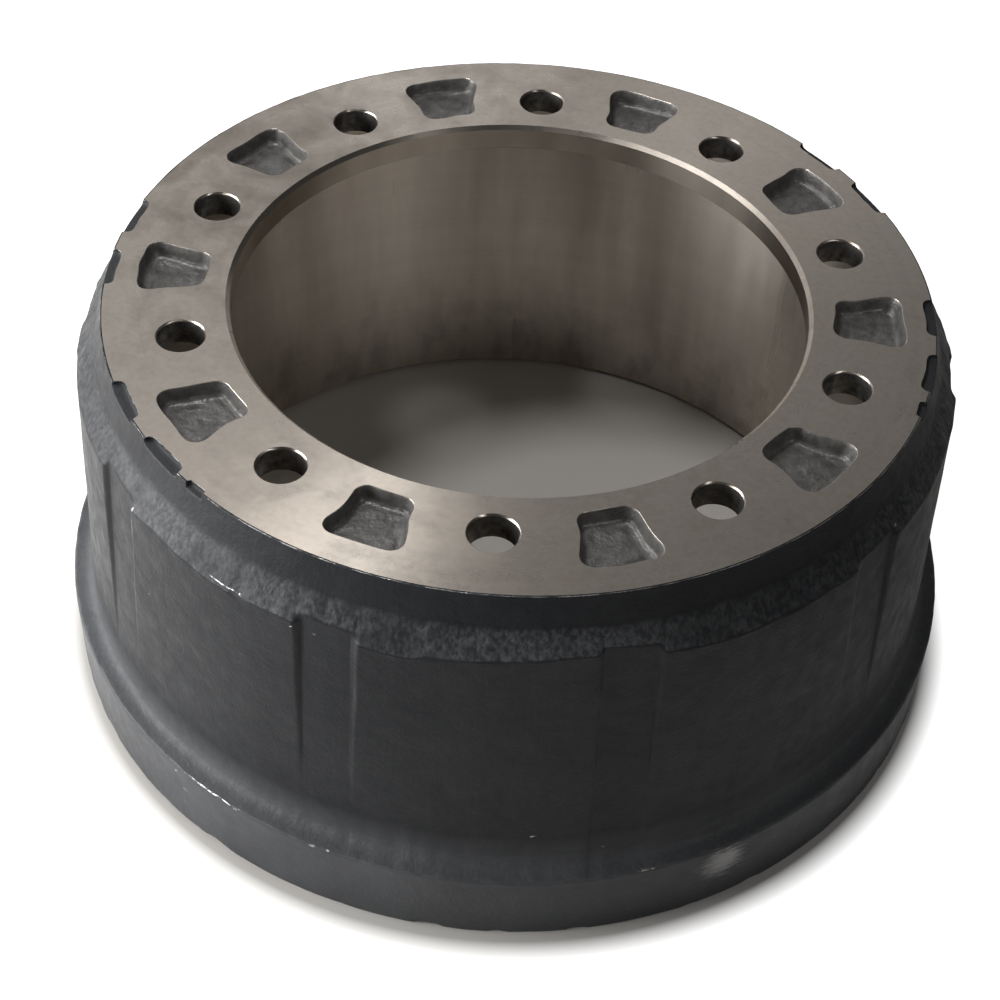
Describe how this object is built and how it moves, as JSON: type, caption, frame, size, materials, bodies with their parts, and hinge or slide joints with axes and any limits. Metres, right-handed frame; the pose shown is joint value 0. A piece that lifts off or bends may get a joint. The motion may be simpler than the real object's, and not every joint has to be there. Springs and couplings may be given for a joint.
{
  "type": "brake drum",
  "caption": "Heavy-truck brake drum: a deep iron cup with a machined flange face, pilot bore, ring of stud holes and cast pockets, and a wide braking bore open at the far end.",
  "frame": {"origin": "centre of the open end, on the drum's axis and on the plane the drum stands on", "axes": "+Z along the axis from the open end up to the flange face; +Y passes through a stud hole"},
  "size_m": [0.4664, 0.4662, 0.2075],
  "materials": {
    "iron": "sand-cast iron under a thin satin black coat outside, with pockets left as cast; flange face and both bores turned to bare grey-brown iron"
  },
  "bodies": {
    "root": {"brake_drum": "iron"}
  },
  "joints": []
}
